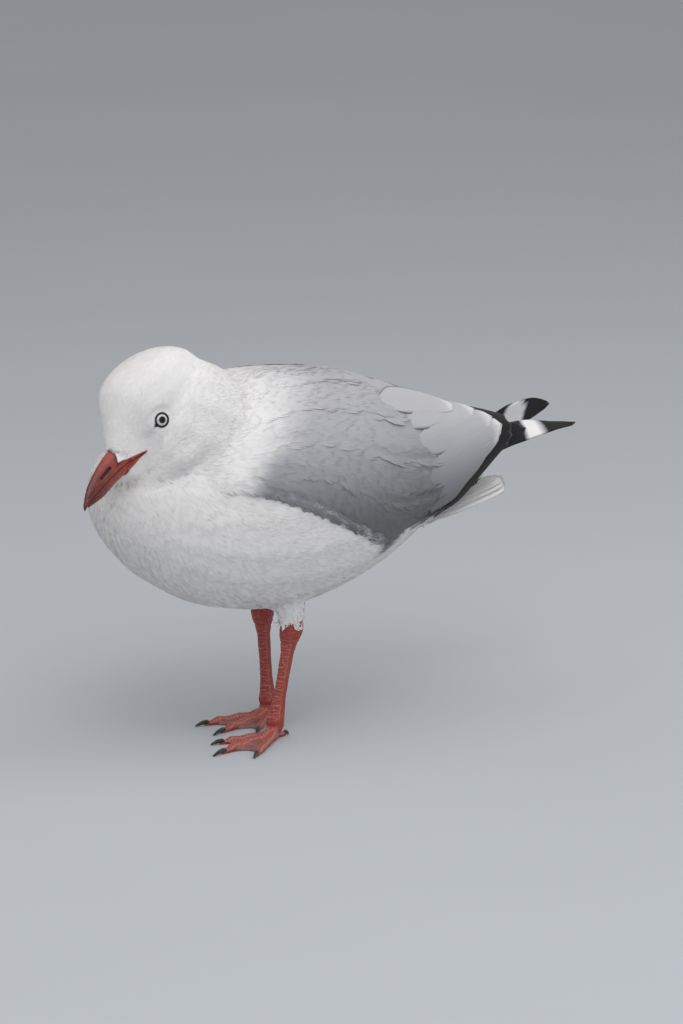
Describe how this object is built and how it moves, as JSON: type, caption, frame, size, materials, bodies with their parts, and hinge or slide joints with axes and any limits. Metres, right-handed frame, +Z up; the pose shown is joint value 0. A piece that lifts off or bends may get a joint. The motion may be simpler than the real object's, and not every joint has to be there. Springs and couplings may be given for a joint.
{
  "type": "seagull figure",
  "caption": "Life-size standing seagull with folded wings and webbed feet, head turned to its left and bent down; a still display model that rests on its soles.",
  "frame": {"origin": "on the floor under the middle of the figure's outline, level with the soles", "axes": "+Z up; -Y the way the body faces, so +Y runs to the tail; +X the bird's left side"},
  "size_m": [0.1232, 0.3293, 0.2116],
  "materials": {
    "white_plumage": "matt white feathers",
    "grey_plumage": "matt silver-grey feathers",
    "black_plumage": "black flight feathers, slight sheen",
    "red_horn": "satin deep red horn",
    "red_leg_skin": "scaled red skin",
    "black_horn": "satin black horn",
    "eye": "wet gloss"
  },
  "bodies": {
    "root": {"bill_lower": "red_horn", "bill_upper": "red_horn", "claw_left_hind": "black_horn", "claw_left_inner": "black_horn", "claw_left_middle": "black_horn", "claw_left_outer": "black_horn", "claw_right_hind": "black_horn", "claw_right_inner": "black_horn", "claw_right_middle": "black_horn", "claw_right_outer": "black_horn", "eye_left": "eye", "eye_right": "eye", "foot_left": "red_leg_skin", "foot_right": "red_leg_skin", "head": "white_plumage", "neck": "white_plumage", "primaries_left": "black_plumage", "primaries_right": "black_plumage", "tail": "white_plumage", "tarsus_left": "red_leg_skin", "tarsus_right": "red_leg_skin", "thigh_left": "white_plumage", "thigh_right": "white_plumage", "trunk": "white_plumage", "wing_left": "grey_plumage", "wing_right": "grey_plumage"}
  },
  "joints": []
}
